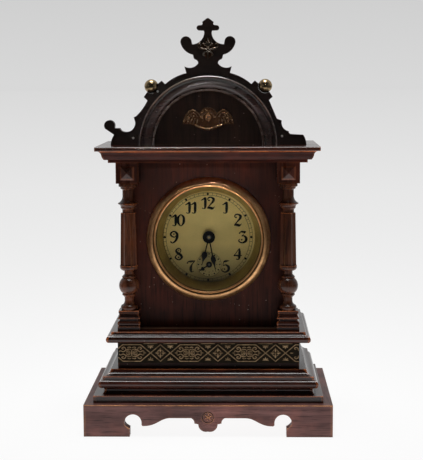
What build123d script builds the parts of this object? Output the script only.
from build123d import *
import os
from math import atan2, cos, degrees, pi, radians, sin

# Architectural alarm shelf clock.
# Frame: origin under the middle of the base, Z up, the dial faces -Y. Sizes are in millimetres.

os.makedirs("parts", exist_ok=True)

# Clearances
running_fit = 0.05
seat_gap = 0.1
door_gap = 0.4

# Plinth
plinth_width = 209.0
plinth_depth = 138.0
plinth_height = 27.2
apron_thickness = 9.0
plinth_board_thickness = 8.0
foot_length = 38.7
scroll_hole_radius = 7.6
apron_arch_height = 16.1
pendant_lift = 4.6
rosette_drop = 10.4
rosette_radius = 5.0

# Mouldings of the base: each projection is measured out from the face of the frieze
frieze_width = 155.0
frieze_height = 23.0
frame_thickness = 14.0
base_back_inset = 9.0
step_projection = 19.5
step_height = 6.0
scotia_projection = 10.8
scotia_height = 5.0
bead_projection = 15.5
bead_height = 7.0
fillet_projection = 12.0
fillet_height = 3.0
cove_projection = 5.5
cove_height = 5.0
strip_height = 17.4
strip_thickness = 0.8
ledge_height = 9.0
ledge_thickness = 8.0
ledge_nose = 9.2
ledge_top = 5.0

# Case
case_inset = 5.5
case_depth = 84.0
case_height = 143.4
panel_setback = 16.0
panel_thickness = 8.0
side_thickness = 7.0
door_thickness = 7.0
rail_height = 12.0

# Columns and their blocks
block_width = 19.2
foot_block_height = 17.0
head_block_height = 17.6
boss_size = 12.0
boss_height = 4.0
column_radius = 7.55
column_neck = 3.9
column_ball = 8.6
column_disc = 8.65
flute_count = 8

# Cornice
cornice_overhang = 6.3
cornice_fillet = 2.6
cornice_height = 10.0
cornice_flare = 8.0
slab_projection = 10.2
slab_height = 3.6

# Arched crest
crest_thickness = 8.0
crest_setback = 10.0
arch_radius = 58.7
arch_width = 12.3
arch_depth = 10.0
tympanum_thickness = 3.0
ball_radius = 6.0

# Dial and bezel
dial_raise = 5.0
sight_radius = 45.2
bezel_width = 8.1
bezel_depth = 5.3
bezel_flat = 0.6
glass_thickness = 1.8
dial_recess = 17.6
dial_thickness = 0.8
alarm_drop = 24.5

# Movement
motion_space = 7.6
plate_margin = 5.0
plate_thickness = 1.5
plate_gap = 28.5
post_radius = 3.0
post_inset = 8.2
wheel_reach = 37.0
wheel_thickness = 1.2
centre_level = 3.5
third_level = 8.5
fourth_level = 13.0
escape_level = 19.0
barrel_level = 23.0
pivot_radius = 0.5

# Heights and planes that follow from the sizes above
frieze_half = frieze_width / 2
frieze_setback = (plinth_width - frieze_width) / 2
frieze_front = -plinth_depth / 2 + frieze_setback
base_back = plinth_depth / 2 - base_back_inset
frieze_z = plinth_height + step_height + scotia_height + bead_height + fillet_height + cove_height
ledge_z = frieze_z + frieze_height
case_z = ledge_z + ledge_height
case_half = frieze_half - case_inset
case_front = frieze_front + panel_setback
panel_back = case_front + panel_thickness
case_back = case_front + case_depth
inner_half = case_half - side_thickness
cornice_z = case_z + case_height
slab_z = cornice_z + cornice_height
crest_z = slab_z + slab_height
crest_front = case_front + crest_setback
cornice_half = frieze_half + cornice_overhang
cornice_front = frieze_front - 1.0
dial_z = (case_z + cornice_z) / 2 + dial_raise
dial_front = case_front + dial_recess
dial_back = dial_front + dial_thickness
plate_front = dial_back + motion_space
plate_inner = plate_front + plate_thickness
back_inner = plate_inner + plate_gap - plate_thickness
back_outer = back_inner + plate_thickness


def save(shape, name):
    shape.label = name
    export_step(shape, f"parts/{name}.step")


def box(x_range, y_range, z_range, mode=Mode.ADD):
    """A box between the given limits, added to the part being built."""
    sizes = [high - low for low, high in (x_range, y_range, z_range)]
    with Locations([(x_range[0], y_range[0], z_range[0])]):
        Box(*sizes, align=(Align.MIN, Align.MIN, Align.MIN), mode=mode)


def front_plane(y):
    """A plane that faces the viewer: local x is X, local y is Z."""
    return Plane.XZ.offset(-y)


def rod(centre, radius, y_front, y_back, mode=Mode.ADD):
    """A round bar along Y, added to or cut from the part being built."""
    with BuildSketch(front_plane(y_back)) as section:
        with Locations(centre):
            Circle(radius)
    extrude(section.sketch, amount=y_back - y_front, mode=mode)


def hexagon_nut(centre, radius, y_front, y_back):
    with BuildSketch(front_plane(y_back)) as section:
        with Locations(centre):
            RegularPolygon(radius, 6)
    extrude(section.sketch, amount=y_back - y_front)


# Plinth


def apron_cut(half_length, pendant):
    """Half of the space under an apron, from the cusp of the foot to the middle."""
    cusp = half_length - foot_length
    hole = cusp - 2.4
    hole_z = apron_arch_height - 4.5
    tip_z = hole_z - 2.4
    scroll_z = hole_z - 4.4
    tip = hole - scroll_hole_radius - 2.0
    with BuildLine() as outline:
        left = (cusp + 4.4, hole_z - 0.6)
        right = (hole - scroll_hole_radius, hole_z - 0.8)
        Polyline((0, -1), (cusp, -1), (cusp, scroll_z))
        ThreePointArc((cusp, scroll_z), (cusp + 2.5, scroll_z + 1.5), left)
        ThreePointArc(left, (hole, hole_z + scroll_hole_radius), right)
        ThreePointArc(right, (hole - scroll_hole_radius - 0.6, tip_z + 0.3), (tip, tip_z))
        rise = tip * 0.58
        if pendant:
            Spline((tip, tip_z), (tip * 0.78, hole_z + 0.9), (rise, apron_arch_height),
                   tangents=((-1, 0), (-1, 0)))
            Polyline((rise, apron_arch_height), (14.2, apron_arch_height))
            ThreePointArc((14.2, apron_arch_height), (11.9, apron_arch_height - 2), (11.4, pendant_lift + 7))
            Polyline((11.4, pendant_lift + 7), (8.1, pendant_lift + 6.2))
            ThreePointArc((8.1, pendant_lift + 6.2), (6.0, pendant_lift + 1.4), (0, pendant_lift))
            Line((0, pendant_lift), (0, -1))
        else:
            Spline((tip, tip_z), (tip * 0.6, hole_z + 1.2), (0, apron_arch_height),
                   tangents=((-1, 0), (-1, 0)))
            Line((0, apron_arch_height), (0, -1))
    make_face(outline.edges())


plinth_half = plinth_width / 2
plinth_front = -plinth_depth / 2

with BuildPart() as front_apron:
    with BuildSketch():
        Polygon(
            (-plinth_half, plinth_front),
            (plinth_half, plinth_front),
            (plinth_half - apron_thickness, plinth_front + apron_thickness),
            (-plinth_half + apron_thickness, plinth_front + apron_thickness),
        )
    extrude(amount=plinth_height)
    with BuildSketch(front_plane(plinth_front + apron_thickness + 1)):
        apron_cut(plinth_half, True)
        mirror(about=Plane.YZ)
    extrude(amount=apron_thickness + 2, mode=Mode.SUBTRACT)
    with BuildSketch(front_plane(plinth_front)):
        with Locations((0, plinth_height - rosette_drop)):
            Circle(rosette_radius)
            Circle(rosette_radius - 0.8, mode=Mode.SUBTRACT)
    extrude(amount=-0.6, mode=Mode.SUBTRACT)
save(front_apron.part, "plinth_front_apron")

with BuildPart() as side_aprons:
    with BuildSketch():
        Polygon(
            (plinth_half, plinth_front),
            (plinth_half, -plinth_front),
            (plinth_half - apron_thickness, -plinth_front),
            (plinth_half - apron_thickness, plinth_front + apron_thickness),
        )
    extrude(amount=plinth_height)
    with BuildSketch(Plane.YZ.offset(plinth_half - apron_thickness - 1)):
        apron_cut(plinth_depth / 2, False)
        mirror(about=Plane.YZ)
    extrude(amount=apron_thickness + 2, mode=Mode.SUBTRACT)
    mirror(about=Plane.YZ)
save(side_aprons.part, "plinth_side_aprons")

with BuildPart() as plinth_board:
    board_half = plinth_half - apron_thickness
    box((-board_half, board_half), (plinth_front + apron_thickness, -plinth_front),
        (plinth_height - plinth_board_thickness, plinth_height))
save(plinth_board.part, "plinth_board")

# Mitred mouldings


def mitred(profile, face_x, face_y, inner_x, inner_y, reach, back, name):
    """One front and two side lengths of a moulding, cut at 45 degrees where they meet."""
    left_mitre = Plane(origin=(-face_x, face_y, 0), x_dir=(0, 0, 1), z_dir=(1, -1, 0))
    right_mitre = Plane(origin=(face_x, face_y, 0), x_dir=(0, 0, 1), z_dir=(-1, -1, 0))
    with BuildPart() as front:
        with BuildSketch(Plane.YZ):
            profile(face_y, inner_y)
        extrude(amount=face_x + reach, both=True)
        split(bisect_by=left_mitre, keep=Keep.TOP)
        split(bisect_by=right_mitre, keep=Keep.TOP)
    with BuildPart() as side:
        with BuildSketch(front_plane(face_y - reach)):
            profile(-face_x, -inner_x)
        extrude(amount=face_y - reach - back)
        split(bisect_by=left_mitre, keep=Keep.BOTTOM)
    other = side.part.mirror(Plane.YZ)
    save(Compound(children=[front.part.solid(), side.part.solid(), other.solid()]), name)


def base_profile(face, inner):
    """Step, scotia, bead, fillet and cove, from the plinth up to the frieze."""
    step_z = plinth_height + step_height
    scotia_z = step_z + scotia_height
    bead_z = scotia_z + bead_height
    fillet_z = bead_z + fillet_height
    scotia = face - scotia_projection
    bead_root = face - bead_projection + 0.42 * bead_height
    fillet = face - fillet_projection
    cove = face - cove_projection
    with BuildLine() as outline:
        Polyline((inner, plinth_height), (face - step_projection, plinth_height),
                 (face - step_projection, step_z), (scotia - 1.6, step_z))
        ThreePointArc((scotia - 1.6, step_z), (scotia, step_z + 0.6 * scotia_height), (scotia - 0.6, scotia_z))
        Line((scotia - 0.6, scotia_z), (bead_root, scotia_z))
        bead_nose = (face - bead_projection, (scotia_z + bead_z) / 2)
        ThreePointArc((bead_root, scotia_z), bead_nose, (bead_root, bead_z))
        Polyline((bead_root, bead_z), (fillet, bead_z), (fillet, fillet_z))
        mid = (cove + 0.29 * (fillet - cove), fillet_z + 0.29 * cove_height)
        ThreePointArc((fillet, fillet_z), mid, (cove, frieze_z))
        Polyline((cove, frieze_z), (inner, frieze_z), (inner, plinth_height))
    make_face(outline.edges())


def frieze_profile(face, inner):
    with BuildLine() as outline:
        Polyline((inner, frieze_z), (face, frieze_z), (face, ledge_z), (inner, ledge_z), close=True)
    make_face(outline.edges())


def ledge_profile(face, inner):
    """Round nose under a small cove."""
    nose_root = face - ledge_nose + 1.6
    nose_z = ledge_z + 0.62 * ledge_height
    top = face - ledge_top
    with BuildLine() as outline:
        Line((inner, ledge_z), (nose_root, ledge_z))
        nose = (face - ledge_nose, ledge_z + 0.31 * ledge_height)
        ThreePointArc((nose_root, ledge_z), nose, (nose_root, nose_z))
        mid = (top + 0.29 * (nose_root - top), nose_z + 0.08 * ledge_height)
        ThreePointArc((nose_root, nose_z), mid, (top, case_z - 0.1 * ledge_height))
        Polyline((top, case_z - 0.1 * ledge_height), (top, case_z), (inner, case_z), (inner, ledge_z))
    make_face(outline.edges())


def cornice_profile(face, inner):
    """Fillet under a cyma that flares out to the slab."""
    lip = face - 0.37 * cornice_flare
    fillet_z = cornice_z + cornice_fillet
    middle = face - 0.62 * cornice_flare
    half_z = (fillet_z + slab_z) / 2
    rim = face - cornice_flare
    with BuildLine() as outline:
        Polyline((inner, cornice_z), (face, cornice_z), (face, fillet_z), (lip, fillet_z))
        ThreePointArc((lip, fillet_z), (lip - 0.55 * (lip - middle), fillet_z + 1.4), (middle, half_z))
        ThreePointArc((middle, half_z), (middle - 0.25 * (middle - rim), slab_z - 1.6), (rim, slab_z))
        Polyline((rim, slab_z), (inner, slab_z), (inner, cornice_z))
    make_face(outline.edges())


frame_x = frieze_half - frame_thickness
frame_y = frieze_front + frame_thickness
ledge_x = frieze_half - ledge_thickness
ledge_y = frieze_front + ledge_thickness

mitred(base_profile, frieze_half, frieze_front, frame_x, frame_y, step_projection + 1, base_back,
       "base_moulding")
mitred(frieze_profile, frieze_half, frieze_front, frame_x, frame_y, 1, base_back, "frieze_frame")
mitred(ledge_profile, frieze_half, frieze_front, ledge_x, ledge_y, ledge_nose + 1, base_back,
       "ledge_moulding")
mitred(cornice_profile, cornice_half, cornice_front, case_half, case_front, cornice_flare + 1, case_back,
       "cornice_moulding")

with BuildPart() as frieze_strip:
    strip_z = frieze_z + (frieze_height - strip_height) * 0.75
    box((-frieze_half, frieze_half), (frieze_front - strip_thickness, frieze_front),
        (strip_z, strip_z + strip_height))
save(frieze_strip.part, "frieze_strip")

with BuildPart() as case_floor:
    box((-ledge_x, ledge_x), (ledge_y, base_back), (ledge_z, case_z))
save(case_floor.part, "case_floor")

with BuildPart() as cornice_board:
    slab_half = cornice_half + slab_projection
    box((-slab_half, slab_half), (cornice_front - slab_projection, case_back), (slab_z, crest_z))
    long_edges = cornice_board.edges().filter_by(Axis.X).group_by(Axis.Y)[0]
    fillet(long_edges, slab_height * 0.3)
save(cornice_board.part, "cornice_board")

# Case

bezel_seat = sight_radius + 1.4
bezel_radius = sight_radius + bezel_width

with BuildPart() as front_panel:
    box((-case_half, case_half), (case_front, panel_back), (case_z, slab_z))
    rod((0, dial_z), bezel_seat, case_front - 1, panel_back + 1, Mode.SUBTRACT)
save(front_panel.part, "front_panel")

with BuildPart() as side_panels:
    box((inner_half, case_half), (panel_back, case_back), (case_z, slab_z))
    mirror(about=Plane.YZ)
save(side_panels.part, "side_panels")

door_y = case_back - door_thickness
door_bottom = case_z + rail_height + door_gap
door_top = cornice_z - rail_height - door_gap

with BuildPart() as back_rails:
    box((-inner_half, inner_half), (door_y, case_back), (case_z, case_z + rail_height))
    box((-inner_half, inner_half), (door_y, case_back), (cornice_z - rail_height, slab_z))
    box((-frame_x, frame_x), (base_back - door_thickness, base_back), (plinth_height, ledge_z))
save(back_rails.part, "back_rails")

# Back door on two butt hinges

hinge_length = 14.0
hinge_leaf = 0.8
knuckle_radius = 1.8
hinge_pin_radius = 0.8
hinge_x = inner_half - door_gap / 2
hinge_y = case_back + knuckle_radius + running_fit
knuckle_gap = 0.2
hinge_starts = (door_bottom + 15.0, door_top - 15.0 - hinge_length)
leaf_start = knuckle_radius + 0.3
third_part = hinge_length / 3


def upright(radius, z_low, z_high, mode=Mode.ADD):
    with Locations((hinge_x, hinge_y, z_low)):
        Cylinder(radius, z_high - z_low, align=(Align.CENTER, Align.CENTER, Align.MIN), mode=mode)


with BuildPart() as back_door:
    box((-inner_half + door_gap, inner_half - door_gap), (door_y, case_back), (door_bottom, door_top))
    sound_z = door_bottom + 26.0
    with BuildSketch(front_plane(case_back + 1)):
        with Locations((0, sound_z)):
            Circle(2.4)
            with PolarLocations(11.0, 8):
                Circle(2.4)
    extrude(amount=door_thickness + 2, mode=Mode.SUBTRACT)
save(back_door.part, "back_door")

with BuildPart() as hinge_case_leaves:
    for start in hinge_starts:
        box((hinge_x + leaf_start, case_half - 0.5), (case_back, case_back + hinge_leaf),
            (start, start + hinge_length))
        for low in (start, start + 2 * third_part + knuckle_gap):
            high = low + third_part - knuckle_gap
            box((hinge_x, hinge_x + leaf_start), (case_back, case_back + hinge_leaf), (low, high))
            upright(knuckle_radius, low, high)
        upright(hinge_pin_radius + 0.02, start, start + hinge_length, Mode.SUBTRACT)
        upright(hinge_pin_radius, start, start + hinge_length)
save(hinge_case_leaves.part, "hinge_case_leaves")

with BuildPart() as hinge_door_leaves:
    for start in hinge_starts:
        low = start + third_part
        high = low + third_part
        box((hinge_x - leaf_start - 8.0, hinge_x - leaf_start), (case_back, case_back + hinge_leaf),
            (start, start + hinge_length))
        box((hinge_x - leaf_start, hinge_x), (case_back, case_back + hinge_leaf), (low, high))
        upright(knuckle_radius, low, high)
        upright(hinge_pin_radius + running_fit, start, start + hinge_length, Mode.SUBTRACT)
save(hinge_door_leaves.part, "hinge_door_leaves")

with BuildPart() as door_knob:
    knob_x = -inner_half + 9.0
    with BuildSketch(Plane(origin=(knob_x, case_back, (door_bottom + door_top) / 2), x_dir=(1, 0, 0))):
        with BuildLine():
            Polyline((0, 0), (2.6, 0), (1.9, 1.6), (1.9, 2.8))
            ThreePointArc((1.9, 2.8), (4.3, 5.4), (2.8, 8.0))
            Polyline((2.8, 8.0), (2.0, 8.6), (0, 8.6), (0, 0))
        make_face()
    revolve(axis=Axis((knob_x, case_back, (door_bottom + door_top) / 2), (0, 1, 0)))
save(door_knob.part, "door_knob")

# Columns

column_x = frieze_half - block_width / 2
column_y = case_front - column_disc - seat_gap
block_x = (column_x - block_width / 2, column_x + block_width / 2)
column_bottom = case_z + foot_block_height
column_top = cornice_z - head_block_height


def foot_block_outline(face, middle, inward):
    """Base, torus, groove, cove and top fillet, drawn on a face and closed at the middle."""
    reed = foot_block_height / 17
    torus_low = (face + inward * 0.9, case_z + 3.9 * reed)
    torus_high = (face + inward * 0.9, case_z + 8.1 * reed)
    cove_low = (face + inward * 0.2, case_z + 10.9 * reed)
    cove_high = (face + inward * 1.5, case_z + 14.4 * reed)
    groove = face + inward * 1.7
    fillet_face = face + inward * 0.9
    with BuildLine() as outline:
        Polyline((middle, case_z), (face, case_z), (face, case_z + 3.5 * reed), torus_low)
        ThreePointArc(torus_low, (face, case_z + 6.0 * reed), torus_high)
        Polyline(torus_high, (groove, case_z + 8.5 * reed), (groove, case_z + 9.6 * reed),
                 (face + inward * 0.2, case_z + 10.0 * reed), cove_low)
        ThreePointArc(cove_low, (face + inward * 1.1, case_z + 12.3 * reed), cove_high)
        Polyline(cove_high, (fillet_face, case_z + 14.8 * reed), (fillet_face, column_bottom),
                 (middle, column_bottom), (middle, case_z))
    make_face(outline.edges())


with BuildPart() as foot_blocks:
    with BuildSketch(Plane.YZ.offset(block_x[0])):
        foot_block_outline(frieze_front, case_front, 1)
    extrude(amount=block_width)
    with BuildSketch(front_plane(case_front)):
        foot_block_outline(block_x[0], column_x, 1)
        foot_block_outline(block_x[1], column_x, -1)
    extrude(amount=case_front - frieze_front, mode=Mode.INTERSECT)
    mirror(about=Plane.YZ)
save(foot_blocks.part, "column_foot_blocks")

with BuildPart() as head_blocks:
    box(block_x, (frieze_front, case_front), (column_top, cornice_z))
    mirror(about=Plane.YZ)
save(head_blocks.part, "column_head_blocks")

with BuildPart() as bosses:
    with BuildSketch(front_plane(frieze_front)):
        with Locations((column_x, column_top + head_block_height / 2)):
            Rectangle(boss_size, boss_size)
    extrude(amount=boss_height, taper=degrees(atan2(boss_size / 2 - 0.3, boss_height)))
    mirror(about=Plane.YZ)
save(bosses.part, "diamond_bosses")


def fluted_section(radius, z):
    """Eight shallow hollows side by side, so that sharp edges stand between them."""
    flat = radius * cos(pi / flute_count)
    half_chord = radius * sin(pi / flute_count)
    depth = 0.08 * radius
    hollow = (half_chord**2 + depth**2) / (2 * depth)
    with BuildSketch(Plane.XY.offset(z)) as section:
        with Locations((column_x, column_y)):
            Circle(radius)
            with PolarLocations(flat - depth + hollow, flute_count, start_angle=90):
                Circle(hollow, mode=Mode.SUBTRACT)
    return section.sketch


def column():
    """Turned foot with a ball, tapering fluted shaft and turned head."""
    shaft_low = column_bottom + 38.6
    shaft_high = column_top - 25.3
    shaft_top_radius = column_radius * 0.875
    low = column_bottom
    top = column_top
    neck = column_neck
    with BuildPart() as turned:
        with BuildSketch(Plane(origin=(column_x, column_y, 0), x_dir=(1, 0, 0), z_dir=(0, -1, 0))):
            with BuildLine():
                Polyline((0, low), (6.2, low))
                ThreePointArc((6.2, low), (7.35, low + 2.2), (6.2, low + 4.4))
                Line((6.2, low + 4.4), (5.6, low + 4.4))
                ThreePointArc((5.6, low + 4.4), (neck + 0.3, low + 6.6), (neck, low + 9.0))
                Polyline((neck, low + 9.0), (neck, low + 11.0), (5.9, low + 13.0), (5.9, low + 13.9),
                         (5.4, low + 14.4))
                ThreePointArc((5.4, low + 14.4), (column_ball, low + 21.0), (5.4, low + 27.6))
                Polyline((5.4, low + 27.6), (5.9, low + 28.0), (5.9, low + 28.9), (neck, low + 31.0),
                         (neck, low + 33.4), (5.9, low + 34.4))
                ThreePointArc((5.9, low + 34.4), (column_radius - 0.45, low + 35.4),
                              (column_radius, low + 37.2))
                Polyline((column_radius, low + 37.2), (column_radius, shaft_low), (5.0, shaft_low),
                         (5.0, top - 22.6), (6.35, top - 21.0), (6.35, top - 20.2))
                ThreePointArc((6.35, top - 20.2), (7.0, top - 18.7), (column_disc, top - 17.7))
                Line((column_disc, top - 17.7), (column_disc, top - 17.0))
                ThreePointArc((column_disc, top - 17.0), (5.8, top - 14.6), (4.75, top - 10.6))
                Polyline((4.75, top - 10.6), (4.75, top - 5.7), (6.3, top - 4.6), (6.3, top - 3.6),
                         (7.95, top - 2.8), (7.95, top - 0.6), (7.2, top), (0, top), (0, low))
            make_face()
        revolve(axis=Axis((column_x, column_y, 0), (0, 0, 1)))
    with BuildPart() as shaft:
        loft([fluted_section(column_radius - 0.1, shaft_low), fluted_section(shaft_top_radius, shaft_high)])
    with BuildPart() as whole:
        add(turned.part)
        add(shaft.part)
    return whole.part


right_column = column()
save(right_column, "column_right")
save(right_column.mirror(Plane.YZ), "column_left")

# Arched crest

arch_inner = arch_radius - arch_width
arch_axis = Axis((0, 0, crest_z), (0, -1, 0))

with BuildPart() as arch_moulding:
    arch_back = crest_front
    arch_face = crest_front - arch_depth
    edge_start = arch_radius - 1.2
    hollow = (edge_start - 0.3, arch_face + 0.22 * arch_depth)
    round_outer = (arch_inner + 0.76 * arch_width, arch_face + 0.32 * arch_depth)
    round_crown = (arch_inner + 0.46 * arch_width, arch_face + 0.12 * arch_depth)
    round_inner = (arch_inner + 0.17 * arch_width, arch_face + 0.34 * arch_depth)
    lip_y = arch_face + 0.28 * arch_depth
    groove_y = arch_face + 0.5 * arch_depth
    with BuildSketch(Plane.XY.offset(crest_z)):
        with BuildLine():
            Polyline((arch_inner, arch_back), (arch_radius, arch_back), (arch_radius, arch_face + 0.5),
                     (arch_radius - 0.5, arch_face), (edge_start, arch_face))
            ThreePointArc((edge_start, arch_face), hollow, round_outer)
            ThreePointArc(round_outer, round_crown, round_inner)
            Polyline(round_inner, (round_inner[0], groove_y), (round_inner[0] - 0.7, groove_y),
                     (round_inner[0] - 0.7, lip_y), (arch_inner, lip_y), (arch_inner, arch_back))
        make_face()
    revolve(axis=arch_axis, revolution_arc=180)
save(arch_moulding.part, "arch_moulding")

with BuildPart() as tympanum:
    with BuildSketch(front_plane(crest_front)):
        with Locations((0, crest_z)):
            Circle(arch_inner - running_fit)
            Rectangle(2 * arch_radius, 2 * arch_radius, align=(Align.CENTER, Align.MAX), mode=Mode.SUBTRACT)
    extrude(amount=tympanum_thickness)
save(tympanum.part, "tympanum_panel")

crest_radius = arch_radius + 5.5
ball_place = (0.76 * crest_radius, crest_z + 0.78 * crest_radius)
crest_notch = (0.81 * crest_radius, crest_z + 0.592 * crest_radius)


def crest_arc(start, end):
    """An arc round the arch's centre, so that the crest follows the arch below it."""
    first = degrees(atan2(start[1] - crest_z, start[0]))
    last = degrees(atan2(end[1] - crest_z, end[0]))
    middle = radians((first + last) / 2)
    ThreePointArc(start, (crest_radius * cos(middle), crest_z + crest_radius * sin(middle)), end)


def crest_half():
    """Right half of the fretwork, from its foot up to the finial."""
    r = crest_radius
    z = crest_z
    shoulder = (r * 0.963, z + r * 0.385)
    upper_start = (r * 0.575, z + r * 0.806)
    upper_end = (r * 0.29, z + r * 0.953)
    with BuildLine() as outline:
        Line((0, z), (r + 19.8, z))
        ThreePointArc((r + 19.8, z), (r + 19.0, z + 4.6), (r + 16.8, z + 8.8))
        Line((r + 16.8, z + 8.8), (r + 24.4, z + 14.0))
        ThreePointArc((r + 24.4, z + 14.0), (r + 21.4, z + 21.2), (r + 16.2, z + 16.4))
        Polyline((r + 16.2, z + 16.4), (r + 16.4, z + 14.3), (r + 11.9, z + 14.3), (r + 10.6, z + 12.2))
        ThreePointArc((r + 10.6, z + 12.2), (r + 4.2, z + 11.4), (r - 1.5, z + 19.6))
        Polyline((r - 1.5, z + 19.6), (r - 0.3, z + 23.7), shoulder)
        crest_arc(shoulder, crest_notch)
        spike = (crest_notch[0] + 3.1, crest_notch[1] + 2.9)
        nub_low = (upper_start[0] + 5.7, upper_start[1] + 0.7)
        nub_top = (upper_start[0] + 3.0, upper_start[1] + 2.9)
        Polyline(crest_notch, spike, ball_place, nub_low, nub_top, upper_start)
        crest_arc(upper_start, upper_end)
        leaf = (upper_end[0] + 1.5, upper_end[1] + 5.6)
        waist = (8.4, upper_end[1] + 8.2)
        Line(upper_end, leaf)
        ThreePointArc(leaf, (14.3, upper_end[1] + 4.5), waist)
        base = upper_end[1] + 8.2
        ThreePointArc(waist, (9.1, base + 2.1), (11.2, base + 3.3))
        Polyline((11.2, base + 3.3), (12.2, base + 4.4), (12.8, base + 7.3))
        ThreePointArc((12.8, base + 7.3), (19.4, base + 10.6), (23.4, base + 17.6))
        ThreePointArc((23.4, base + 17.6), (18.6, base + 22.8), (14.2, base + 19.2))
        Line((14.2, base + 19.2), (13.6, base + 16.0))
        ThreePointArc((13.6, base + 16.0), (6.4, base + 18.8), (3.1, base + 26.2))
        Polyline((3.1, base + 26.2), (3.5, base + 27.6), (7.6, base + 27.8))
        ThreePointArc((7.6, base + 27.8), (9.6, base + 30.0), (7.4, base + 32.0))
        Polyline((7.4, base + 32.0), (5.0, base + 32.3), (4.5, base + 33.4), (4.8, base + 34.9),
                 (1.2, base + 37.6))
        ThreePointArc((1.2, base + 37.6), (0.7, base + 37.9), (0, base + 38.0))
        Line((0, base + 38.0), (0, z))
    make_face(outline.edges())


with BuildPart() as crest_board:
    with BuildSketch(front_plane(crest_front + crest_thickness)):
        crest_half()
        mirror(about=Plane.YZ)
        with Locations(ball_place, (-ball_place[0], ball_place[1])):
            Circle(ball_radius + seat_gap, mode=Mode.SUBTRACT)
        break_x = crest_radius + 4.8
        break_z = crest_z + 8.8
        Polygon((break_x, break_z + 1.2), (break_x + 1.6, break_z), (break_x + 11.6, break_z - 0.6),
                (break_x + 40, break_z - 0.6), (break_x + 40, break_z + 40), (break_x, break_z + 40),
                mode=Mode.SUBTRACT)
        Polygon(crest_notch, (crest_radius - 5.4, crest_z + 22.1), (crest_radius - 0.6, crest_z + 20.2),
                (crest_radius + 40, crest_z + 20.2), (crest_radius + 40, crest_notch[1]), mode=Mode.SUBTRACT)
    extrude(amount=crest_thickness)
save(crest_board.part, "crest_board")

with BuildPart() as crest_balls:
    for side in (1, -1):
        with Locations((side * ball_place[0], crest_front + crest_thickness / 2, ball_place[1])):
            Sphere(ball_radius)
save(crest_balls.part, "crest_balls")

with BuildPart() as winged_mask:
    mask_z = crest_z + 0.47 * arch_inner
    with BuildSketch(front_plane(crest_front - tympanum_thickness)):
        with BuildLine():
            Line((0, mask_z - 10.0), (2.6, mask_z - 9.6))
            ThreePointArc((2.6, mask_z - 9.6), (8.2, mask_z - 7.6), (12.6, mask_z - 5.0))
            ThreePointArc((12.6, mask_z - 5.0), (17.4, mask_z - 4.0), (22.0, mask_z - 4.6))
            ThreePointArc((22.0, mask_z - 4.6), (20.6, mask_z + 2.2), (16.6, mask_z + 7.2))
            ThreePointArc((16.6, mask_z + 7.2), (13.0, mask_z + 8.6), (9.4, mask_z + 7.0))
            Line((9.4, mask_z + 7.0), (7.2, mask_z + 5.0))
            ThreePointArc((7.2, mask_z + 5.0), (4.7, mask_z + 8.9), (0, mask_z + 10.2))
            Line((0, mask_z + 10.2), (0, mask_z - 10.0))
        make_face()
        mirror(about=Plane.YZ)
    extrude(amount=0.8)
save(winged_mask.part, "tympanum_ornament")

with BuildPart() as crest_ornament:
    spray_z = crest_z + crest_radius + 18.0
    with BuildSketch(front_plane(crest_front)):
        with BuildLine():
            Line((0, spray_z - 10.0), (2.0, spray_z - 7.6))
            ThreePointArc((2.0, spray_z - 7.6), (4.6, spray_z - 4.6), (3.2, spray_z - 1.4))
            ThreePointArc((3.2, spray_z - 1.4), (7.6, spray_z - 0.6), (9.0, spray_z + 3.4))
            ThreePointArc((9.0, spray_z + 3.4), (5.4, spray_z + 3.8), (3.2, spray_z + 2.6))
            ThreePointArc((3.2, spray_z + 2.6), (2.4, spray_z + 6.6), (0, spray_z + 9.6))
            Line((0, spray_z + 9.6), (0, spray_z - 10.0))
        make_face()
        mirror(about=Plane.YZ)
    extrude(amount=0.8)
save(crest_ornament.part, "crest_ornament")

# Bezel, glass and dial

dial_axis = Axis((0, 0, dial_z), (0, 1, 0))
dial_section = Plane.XY.offset(dial_z)
collar_outer = bezel_seat - seat_gap
collar_inner = collar_outer - 0.6
bezel_face = case_front - bezel_depth

with BuildPart() as bezel_ring:
    with BuildSketch(dial_section):
        inner_wall = collar_outer + 1.2
        band_start = (inner_wall + bezel_flat, bezel_face)
        band_end = (bezel_radius, case_front - 0.15 * bezel_depth)
        band_middle = (bezel_radius - 0.3 * (band_end[0] - band_start[0]), (band_start[1] + band_end[1]) / 2)
        with BuildLine():
            Polyline((collar_outer, panel_back), (collar_inner, panel_back), (collar_inner, case_front - 0.8),
                     (inner_wall, case_front - 0.8), (inner_wall, bezel_face), band_start)
            ThreePointArc(band_start, band_middle, band_end)
            Polyline(band_end, (bezel_radius, case_front), (collar_outer, case_front),
                     (collar_outer, panel_back))
        make_face()
    revolve(axis=dial_axis)
save(bezel_ring.part, "bezel_ring")

glass_front = case_front - 0.8
glass_back = glass_front + glass_thickness

with BuildPart() as glass_rim:
    with BuildSketch(dial_section):
        rim_outer = collar_outer + 0.6
        rim_middle = (rim_outer + sight_radius) / 2
        with BuildLine():
            Line((rim_outer, glass_front), (rim_outer, glass_front - 1.6))
            ThreePointArc((rim_outer, glass_front - 1.6), (rim_middle, glass_front - 2.6),
                          (sight_radius, glass_front - 1.2))
            Polyline((sight_radius, glass_front - 1.2), (sight_radius, glass_front), (rim_outer, glass_front))
        make_face()
    revolve(axis=dial_axis)
save(glass_rim.part, "glass_rim")

with BuildPart() as dial_glass:
    rod((0, dial_z), collar_inner - seat_gap, glass_front, glass_back)
save(dial_glass.part, "dial_glass")

dial_radius = sight_radius - 1.4
funnel_foot = 0.885 * sight_radius

with BuildPart() as sight_ring:
    with BuildSketch(dial_section):
        Polygon(
            (sight_radius - 0.4, glass_back),
            (sight_radius + 0.1, glass_back),
            (funnel_foot + 0.5, dial_front),
            (funnel_foot, dial_front),
        )
    revolve(axis=dial_axis)
save(sight_ring.part, "sight_ring")

# Positions of the arbors, seen from the front, in X and Z


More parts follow.
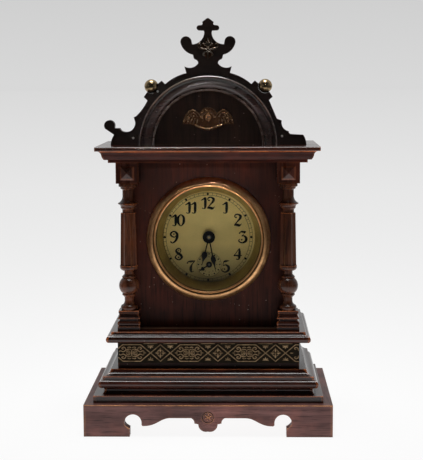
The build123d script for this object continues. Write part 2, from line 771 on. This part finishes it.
def polar(origin, distance, heading):
    """A place at a distance and an angle, in degrees from +X towards +Z."""
    return (origin[0] + distance * cos(radians(heading)), origin[1] + distance * sin(radians(heading)))


hour_teeth = 40
alarm_teeth = 40
minute_teeth = 36
minute_pinion_teeth = 10
cannon_teeth = 12
set_teeth = 12
hour_module = 2 * alarm_drop / (hour_teeth + alarm_teeth)
minute_distance = hour_module * (hour_teeth + minute_pinion_teeth) / 2
minute_module = 2 * minute_distance / (cannon_teeth + minute_teeth)
set_distance = minute_module * (minute_teeth + set_teeth) / 2

barrel_teeth = 72
centre_pinion_teeth = 12
barrel_module = 0.55
centre_teeth = 64
third_pinion_teeth = 8
centre_module = 0.42
third_teeth = 60
fourth_pinion_teeth = 8
third_module = 0.38
fourth_teeth = 60
escape_pinion_teeth = 8
fourth_module = 0.34
alarm_barrel_teeth = 60
alarm_pinion_teeth = 8
alarm_module = 0.52


def mesh_distance(module, teeth, other_teeth):
    return module * (teeth + other_teeth) / 2


centre_at = (0, dial_z)
alarm_at = (0, dial_z - alarm_drop)
minute_at = polar(centre_at, minute_distance, 150)
set_at = polar(minute_at, set_distance, 150)
barrel_at = polar(centre_at, mesh_distance(barrel_module, barrel_teeth, centre_pinion_teeth), 200)
third_at = polar(centre_at, mesh_distance(centre_module, centre_teeth, third_pinion_teeth), 60)
fourth_at = polar(third_at, mesh_distance(third_module, third_teeth, fourth_pinion_teeth), 150)
escape_at = polar(fourth_at, mesh_distance(fourth_module, fourth_teeth, escape_pinion_teeth), 100)
pallet_at = polar(escape_at, 10.0, -10)
balance_at = polar(pallet_at, 11.9, -10)
alarm_barrel_at = polar(centre_at, 23.7, -25)
alarm_distance = mesh_distance(alarm_module, alarm_barrel_teeth, alarm_pinion_teeth)
alarm_escape_at = polar(alarm_barrel_at, alarm_distance, -70)
hammer_at = polar(alarm_escape_at, 9.9, 24)
stop_at = (30.0, dial_z + 22.0)

# Gears with straight-flanked teeth


def gear_outline(teeth, module, phase, addendum, fill):
    """Corner points of the teeth, the middle of one of them at the angle phase."""
    pitch = teeth * module / 2
    tip = pitch + addendum * module
    root = pitch - 1.2 * module
    half = fill * pi / teeth
    points = []
    for tooth in range(teeth):
        middle = radians(phase) + 2 * pi * tooth / teeth
        for radius, offset in ((root, -1.15), (pitch, -1), (tip, -0.4), (tip, 0.4), (pitch, 1), (root, 1.15)):
            angle = middle + offset * half
            points.append((radius * cos(angle), radius * sin(angle)))
    return points


def phase_in_mesh(teeth, phase, place, other_teeth, other_place):
    """The phase with which the other gear's gaps face this gear's teeth."""
    heading = degrees(atan2(other_place[1] - place[1], other_place[0] - place[0]))
    share = (phase - heading) * teeth / 360
    return heading + 180 + (0.5 - share) * 360 / other_teeth


def wheel(place, teeth, module, phase, y_front, hub=0.0, thickness=wheel_thickness):
    """A toothed disc with four arms, or a plain one without a hub size."""
    window = teeth * module / 2 - 3 * module
    with BuildSketch(front_plane(y_front + thickness)) as section:
        with Locations(place):
            Polygon(*gear_outline(teeth, module, phase, 0.75, 0.44))
            if hub:
                Circle(window, mode=Mode.SUBTRACT)
                Circle(hub)
                Rectangle(2 * window + module, hub)
                Rectangle(hub, 2 * window + module)
    extrude(section.sketch, amount=thickness)


def pinion(place, teeth, module, phase, y_front, y_back):
    with BuildSketch(front_plane(y_back)) as section:
        with Locations(place):
            Polygon(*gear_outline(teeth, module, phase, 0.65, 0.36))
    extrude(section.sketch, amount=y_back - y_front)


def pinion_for(place, teeth, module, phase, level):
    """A pinion a little wider than the wheel that it meets."""
    pinion(place, teeth, module, phase, plate_front + level - 0.9, plate_front + level + wheel_thickness + 0.9)


def arbor(place, radius):
    """A shaft between the plates, with a thin pivot through each of them."""
    rod(place, radius, plate_inner + 0.3, back_inner - 0.3)
    rod(place, pivot_radius, plate_front, back_outer)


# Motion work between the dial and the front plate

hour_wheel_y = dial_back + 1.6
minute_wheel_y = hour_wheel_y + wheel_thickness + 1.4
cannon_radius = 1.9
centre_arbor_radius = 0.95
pipe_radius = 2.8
set_arbor_radius = 1.2
alarm_arbor_radius = 1.5
stud_radius = 0.95
hour_hand_y = dial_front - 2.6
minute_hand_y = hour_hand_y - 1.8
hand_thickness = 0.6

hour_phase = 0.0
alarm_phase = phase_in_mesh(hour_teeth, hour_phase, centre_at, alarm_teeth, alarm_at)
minute_pinion_phase = phase_in_mesh(hour_teeth, hour_phase, centre_at, minute_pinion_teeth, minute_at)
cannon_phase = 0.0
minute_phase = phase_in_mesh(cannon_teeth, cannon_phase, centre_at, minute_teeth, minute_at)
set_phase = phase_in_mesh(minute_teeth, minute_phase, minute_at, set_teeth, set_at)

with BuildPart() as hour_wheel:
    wheel(centre_at, hour_teeth, hour_module, hour_phase, hour_wheel_y, hub=4.2)
    rod(centre_at, pipe_radius, hour_hand_y, hour_wheel_y + wheel_thickness)
    rod(centre_at, cannon_radius + running_fit, hour_hand_y, hour_wheel_y + wheel_thickness, Mode.SUBTRACT)
save(hour_wheel.part, "hour_wheel")

with BuildPart() as minute_wheel:
    wheel(minute_at, minute_teeth, minute_module, minute_phase, minute_wheel_y, hub=3.6)
    pinion(minute_at, minute_pinion_teeth, hour_module, minute_pinion_phase, hour_wheel_y - 0.3, minute_wheel_y)
    rod(minute_at, stud_radius + running_fit, dial_back, plate_front, Mode.SUBTRACT)
save(minute_wheel.part, "minute_wheel")

with BuildPart() as cannon_pinion:
    pinion(centre_at, cannon_teeth, minute_module, cannon_phase, minute_wheel_y - 0.5,
           minute_wheel_y + wheel_thickness + 0.5)
    rod(centre_at, cannon_radius, minute_hand_y - 0.4, plate_front - 0.3)
    rod(centre_at, centre_arbor_radius + running_fit, minute_hand_y - 0.4, plate_front - 0.3, Mode.SUBTRACT)
save(cannon_pinion.part, "cannon_pinion")

with BuildPart() as alarm_wheel:
    wheel(alarm_at, alarm_teeth, hour_module, alarm_phase, hour_wheel_y, hub=4.2)
    rod(alarm_at, 3.0, hour_wheel_y, plate_front - 0.3)
    rod(alarm_at, alarm_arbor_radius + running_fit, dial_back, plate_front, Mode.SUBTRACT)
save(alarm_wheel.part, "alarm_wheel")

knob_front = back_outer + 4.5
knob_back = knob_front + 5.0

with BuildPart() as hand_set_knob:
    pinion(set_at, set_teeth, minute_module, set_phase, minute_wheel_y - 0.5,
           minute_wheel_y + wheel_thickness + 0.5)
    rod(set_at, set_arbor_radius, minute_wheel_y - 1.2, knob_front)
    rod(set_at, 6.0, knob_front, knob_back)
save(hand_set_knob.part, "hand_set_knob")

with BuildPart() as alarm_set_knob:
    rod(alarm_at, 1.0, dial_front - 1.3, dial_back + 0.4)
    rod(alarm_at, alarm_arbor_radius, dial_back + 0.4, knob_front)
    rod(alarm_at, 5.0, knob_front, knob_back)
save(alarm_set_knob.part, "alarm_set_knob")

with BuildPart() as dial_plate:
    rod(centre_at, dial_radius, dial_front, dial_back)
    for heading in (90, 210, 330):
        rod(polar(centre_at, dial_radius - 6.0, heading), 1.2, dial_back, plate_front)
    rod(centre_at, pipe_radius + 0.4, dial_front, dial_back, Mode.SUBTRACT)
    rod(alarm_at, 1.4, dial_front, dial_back, Mode.SUBTRACT)
save(dial_plate.part, "dial_plate")


def spade_hand(place, heading, y_back, length, hub_radius, bore, blade, name):
    """A hand with a narrow stem and a spade near its point, turned clockwise from twelve."""
    turn = radians(heading)
    plane = Plane(origin=(place[0], y_back, place[1]), x_dir=(cos(turn), 0, -sin(turn)), z_dir=(0, -1, 0))
    with BuildPart() as hand:
        with BuildSketch(plane):
            with BuildLine():
                Polyline((0, 0), (0.55, 0), (0.55, 0.52 * length))
                ThreePointArc((0.55, 0.52 * length), (blade, 0.6 * length), (0.78 * blade, 0.72 * length))
                ThreePointArc((0.78 * blade, 0.72 * length), (0.38 * blade, 0.8 * length), (0.4, 0.88 * length))
                Polyline((0.4, 0.88 * length), (0.15, length), (0, length), (0, 0))
            make_face()
            mirror(about=Plane.YZ)
            Circle(hub_radius)
            Circle(bore, mode=Mode.SUBTRACT)
        extrude(amount=hand_thickness)
    save(hand.part, name)


spade_hand(centre_at, 194, hour_hand_y + hand_thickness, 25.7, 5.2, pipe_radius + 0.02, 2.4, "hour_hand")
spade_hand(centre_at, 169, minute_hand_y + hand_thickness, 31.0, 5.4, cannon_radius + 0.02, 2.0, "minute_hand")
spade_hand(alarm_at, 236, dial_front - 0.6, 10.4, 2.6, 1.02, 1.75, "alarm_hand")

# Going train between the plates

centre_phase = 0.0
third_pinion_phase = phase_in_mesh(centre_teeth, centre_phase, centre_at, third_pinion_teeth, third_at)
third_phase = 0.0
fourth_pinion_phase = phase_in_mesh(third_teeth, third_phase, third_at, fourth_pinion_teeth, fourth_at)
fourth_phase = 0.0
escape_pinion_phase = phase_in_mesh(fourth_teeth, fourth_phase, fourth_at, escape_pinion_teeth, escape_at)
barrel_phase = 0.0
centre_pinion_phase = phase_in_mesh(barrel_teeth, barrel_phase, barrel_at, centre_pinion_teeth, centre_at)
alarm_barrel_phase = 0.0
alarm_pinion_phase = phase_in_mesh(
    alarm_barrel_teeth, alarm_barrel_phase, alarm_barrel_at, alarm_pinion_teeth, alarm_escape_at)

with BuildPart() as centre_wheel:
    rod(centre_at, centre_arbor_radius, minute_hand_y - 1.6, back_outer)
    rod(centre_at, 1.3, plate_inner + 0.3, back_inner - 0.3)
    wheel(centre_at, centre_teeth, centre_module, centre_phase, plate_front + centre_level, hub=3.0)
    pinion_for(centre_at, centre_pinion_teeth, barrel_module, centre_pinion_phase, barrel_level)
save(centre_wheel.part, "centre_wheel")

with BuildPart() as third_wheel:
    arbor(third_at, 0.9)
    pinion_for(third_at, third_pinion_teeth, centre_module, third_pinion_phase, centre_level)
    wheel(third_at, third_teeth, third_module, third_phase, plate_front + third_level, hub=2.6)
save(third_wheel.part, "third_wheel")

with BuildPart() as fourth_wheel:
    arbor(fourth_at, 0.9)
    pinion_for(fourth_at, fourth_pinion_teeth, third_module, fourth_pinion_phase, third_level)
    wheel(fourth_at, fourth_teeth, fourth_module, fourth_phase, plate_front + fourth_level, hub=2.6)
save(fourth_wheel.part, "fourth_wheel")

escape_radius = 7.0


def ratchet_outline(count, tip, root):
    """Leaning pointed teeth of an escape wheel."""
    points = []
    for tooth in range(count):
        angle = 2 * pi * tooth / count
        points.append((tip * cos(angle), tip * sin(angle)))
        points.append((root * cos(angle + 0.5 / count), root * sin(angle + 0.5 / count)))
        points.append((root * cos(angle + 4.4 / count), root * sin(angle + 4.4 / count)))
    return points


with BuildPart() as escape_wheel:
    arbor(escape_at, 0.8)
    pinion_for(escape_at, escape_pinion_teeth, fourth_module, escape_pinion_phase, fourth_level)
    with BuildSketch(front_plane(plate_front + escape_level + wheel_thickness)):
        with Locations(escape_at):
            Polygon(*ratchet_outline(15, escape_radius, escape_radius - 1.6))
    extrude(amount=wheel_thickness)
save(escape_wheel.part, "escape_wheel")

with BuildPart() as pallet_lever:
    arbor(pallet_at, 0.7)
    lever_front = plate_front + escape_level
    lever_plane = Plane(origin=(pallet_at[0], lever_front + wheel_thickness, pallet_at[1]),
                        x_dir=(cos(radians(-10)), 0, sin(radians(-10))), z_dir=(0, -1, 0))
    with BuildSketch(lever_plane):
        Circle(1.6)
        Rectangle(8.4, 1.3, align=(Align.MIN, Align.CENTER))
        Rectangle(1.6, 8.4)
        with Locations((-1.2, 3.6), (-1.2, -3.6)):
            Rectangle(2.4, 1.2)
    extrude(amount=wheel_thickness)
save(pallet_lever.part, "pallet_lever")

balance_radius = 9.0


def hairspring_outline():
    """A thin flat spiral ribbon of five turns."""
    angles = [pi * step / 9 for step in range(91)]
    inner = [((1.3 + 0.12 * angle) * cos(angle), (1.3 + 0.12 * angle) * sin(angle)) for angle in angles]
    outer = [((1.55 + 0.12 * angle) * cos(angle), (1.55 + 0.12 * angle) * sin(angle)) for angle in angles]
    return outer + inner[::-1]


with BuildPart() as balance:
    arbor(balance_at, 0.8)
    balance_y = plate_front + escape_level + 5.0
    with BuildSketch(front_plane(balance_y + 1.5)):
        with Locations(balance_at):
            Circle(balance_radius)
            Circle(balance_radius - 1.4, mode=Mode.SUBTRACT)
            Rectangle(2 * balance_radius - 2, 1.6)
            Circle(2.2)
    extrude(amount=1.5)
    rod(balance_at, 2.5, plate_front + escape_level - 0.9, plate_front + escape_level - 0.1)
    rod(polar(balance_at, 2.1, 170), 0.35, plate_front + escape_level - 0.9, plate_front + escape_level + 1.2)
    rod(balance_at, 1.5, balance_y + 1.5, balance_y + 3.4)
    with BuildSketch(front_plane(balance_y + 3.4)):
        with Locations(balance_at):
            Polygon(*hairspring_outline())
    extrude(amount=0.8)
save(balance.part, "balance_wheel")

winding_radius = 2.0
barrel_depth = 14.0


def barrel(place, teeth, module, phase, name):
    """A closed spring drum with its toothed rim at the back."""
    y = plate_front + barrel_level
    with BuildPart() as drum:
        wheel(place, teeth, module, phase, y)
        rod(place, teeth * module / 2 - 2.2, y - barrel_depth, y)
        rod(place, winding_radius + running_fit, y - barrel_depth, y + wheel_thickness, Mode.SUBTRACT)
    save(drum.part, name)


def winding_key(place, wing, name):
    """The winding arbor through the barrel, with a two-winged key on its end."""
    key_y = back_outer + 3.0
    with BuildPart() as key:
        rod(place, winding_radius, plate_inner + 0.3, key_y)
        rod(place, 1.4, plate_front, plate_inner + 0.3)
        rod(place, 3.4, key_y, key_y + 6.0)
        with BuildSketch(Plane.XY.offset(place[1] - 1.2)):
            with Locations((place[0] - wing, key_y + 9.0), (place[0] + wing, key_y + 9.0)):
                Circle(wing - 0.8)
            with Locations((place[0], key_y + 6.5)):
                Rectangle(6.0, 5.0)
            with Locations((place[0] - wing, key_y + 9.0), (place[0] + wing, key_y + 9.0)):
                Circle(0.42 * wing, mode=Mode.SUBTRACT)
        extrude(amount=2.4)
    save(key.part, name)


barrel(barrel_at, barrel_teeth, barrel_module, barrel_phase, "time_barrel")
barrel(alarm_barrel_at, alarm_barrel_teeth, alarm_module, alarm_barrel_phase, "alarm_barrel")
winding_key(barrel_at, 6.0, "time_key")
winding_key(alarm_barrel_at, 5.4, "alarm_key")

# Alarm work

alarm_escape_y = plate_front + barrel_level + 3.6
hammer_plane_y = plate_front + plate_gap - 1.6
bell_radius = 22.0
hammer_reach = bell_radius + 4.6
bell_at = (hammer_at[0] - hammer_reach, plate_front + 26.0)
bell_rim_z = case_z + 5.0
bell_height = 17.0

with BuildPart() as alarm_escape:
    arbor(alarm_escape_at, 0.9)
    pinion_for(alarm_escape_at, alarm_pinion_teeth, alarm_module, alarm_pinion_phase, barrel_level)
    with BuildSketch(front_plane(alarm_escape_y + 1.0)):
        with Locations(alarm_escape_at):
            Polygon(*ratchet_outline(12, 6.0, 4.2))
    extrude(amount=1.0)
save(alarm_escape.part, "alarm_escape_wheel")

with BuildPart() as hammer:
    arbor(hammer_at, 0.9)
    verge_plane = Plane(origin=(hammer_at[0], alarm_escape_y + 1.0, hammer_at[1]),
                        x_dir=(cos(radians(24)), 0, sin(radians(24))), z_dir=(0, -1, 0))
    with BuildSketch(verge_plane):
        Circle(1.8)
        Rectangle(1.8, 10.2)
        with Locations((-1.9, 4.6), (-1.9, -4.6)):
            Rectangle(3.8, 1.0)
    extrude(amount=1.0)
    head = (hammer_at[0], bell_rim_z + 5.0)
    drop = degrees(atan2(head[1] - hammer_at[1], head[0] - hammer_at[0]))
    arm_length = ((head[0] - hammer_at[0])**2 + (head[1] - hammer_at[1])**2)**0.5
    arm_plane = Plane(origin=(hammer_at[0], hammer_plane_y + 0.8, hammer_at[1]),
                      x_dir=(cos(radians(drop)), 0, sin(radians(drop))), z_dir=(0, -1, 0))
    with BuildSketch(arm_plane):
        Circle(1.6)
        Rectangle(arm_length, 1.4, align=(Align.MIN, Align.CENTER))
    extrude(amount=0.8)
    rod(head, 3.5, hammer_plane_y - 2.0, hammer_plane_y + 3.0)
save(hammer.part, "alarm_hammer")

with BuildPart() as bell_dome:
    with BuildSketch(Plane(origin=(bell_at[0], bell_at[1], bell_rim_z), x_dir=(1, 0, 0), z_dir=(0, -1, 0))):
        with BuildLine():
            outer_mid = (bell_radius * 0.86, bell_height * 0.64)
            inner_mid = (outer_mid[0] - 1.0, outer_mid[1] - 0.9)
            ThreePointArc((bell_radius, 0), outer_mid, (2.1, bell_height))
            Line((2.1, bell_height), (2.1, bell_height - 1.3))
            ThreePointArc((2.1, bell_height - 1.3), inner_mid, (bell_radius - 1.3, 0))
            Line((bell_radius - 1.3, 0), (bell_radius, 0))
        make_face()
    revolve(axis=Axis((bell_at[0], bell_at[1], 0), (0, 0, 1)))

with BuildPart() as bell_post:
    with BuildSketch(Plane(origin=(bell_at[0], bell_at[1], case_z), x_dir=(1, 0, 0), z_dir=(0, -1, 0))):
        seat = bell_rim_z - case_z + bell_height - 1.3
        Polygon((0, 0), (7.0, 0), (7.0, 2.0), (3.0, 2.0), (3.0, seat - 0.05), (2.0, seat - 0.05),
                (2.0, seat + 4.0), (0, seat + 4.0))
    revolve(axis=Axis((bell_at[0], bell_at[1], 0), (0, 0, 1)))
save(Compound(children=[bell_dome.part.solid(), bell_post.part.solid()]), "bell")

with BuildPart() as stop_lever:
    rod(stop_at, 1.0, back_inner, back_outer + 0.3)
    with BuildSketch(front_plane(back_outer + 1.5)):
        with Locations(stop_at):
            Circle(3.2)
            Rectangle(2.4, 15.0, align=(Align.CENTER, Align.MIN))
    extrude(amount=1.2)
    rod((stop_at[0], stop_at[1] + 13.0), 1.2, back_outer + 1.5, back_outer + 6.0)
save(stop_lever.part, "alarm_stop_lever")

# Plates, pillars and posts

thin_pivots = (third_at, fourth_at, escape_at, pallet_at, balance_at, alarm_escape_at, hammer_at)
# The posts stand clear of the dial and of the wheels, and the plates reach a little past them
post_offset = max(sight_radius - post_inset, wheel_reach)
plate_size = 2 * (post_offset + plate_margin)
pillar_places = [(x * (post_offset + 1), dial_z + post_offset - 1) for x in (-1, 1)]
pillar_places += [(x * 14, dial_z - post_offset - 1.5) for x in (-1, 1)]
post_places = [(x * post_offset, dial_z + z * post_offset) for x in (-1, 1) for z in (-1, 1)]


def plate(y_front, y_back):
    with BuildSketch(front_plane(y_back)) as section:
        with Locations(centre_at):
            RectangleRounded(plate_size, plate_size, 5.0)
    extrude(section.sketch, amount=y_back - y_front)
    bores = [(centre_at, centre_arbor_radius), (set_at, set_arbor_radius), (alarm_at, alarm_arbor_radius)]
    bores += [(place, pivot_radius) for place in thin_pivots]
    for place, radius in bores:
        rod(place, radius + running_fit, y_front, y_back, Mode.SUBTRACT)


with BuildPart() as front_plate:
    plate(plate_front, plate_inner)
    for place in (barrel_at, alarm_barrel_at):
        rod(place, 1.4 + running_fit, plate_front, plate_inner, Mode.SUBTRACT)
    rod(minute_at, stud_radius, hour_wheel_y - 0.6, plate_front)
save(front_plate.part, "front_plate")

with BuildPart() as back_plate:
    plate(back_inner, back_outer)
    for place in (barrel_at, alarm_barrel_at):
        rod(place, winding_radius + running_fit, back_inner, back_outer, Mode.SUBTRACT)
    rod(stop_at, 1.0 + running_fit, back_inner, back_outer, Mode.SUBTRACT)
save(back_plate.part, "back_plate")

with BuildPart() as pillars:
    for place in pillar_places:
        rod(place, 2.4, plate_inner, back_inner)
        hexagon_nut(place, 2.8, back_outer, back_outer + 2.0)
save(pillars.part, "plate_pillars")

with BuildPart() as posts:
    for place in post_places:
        rod(place, post_radius, panel_back, plate_front)
save(posts.part, "movement_posts")
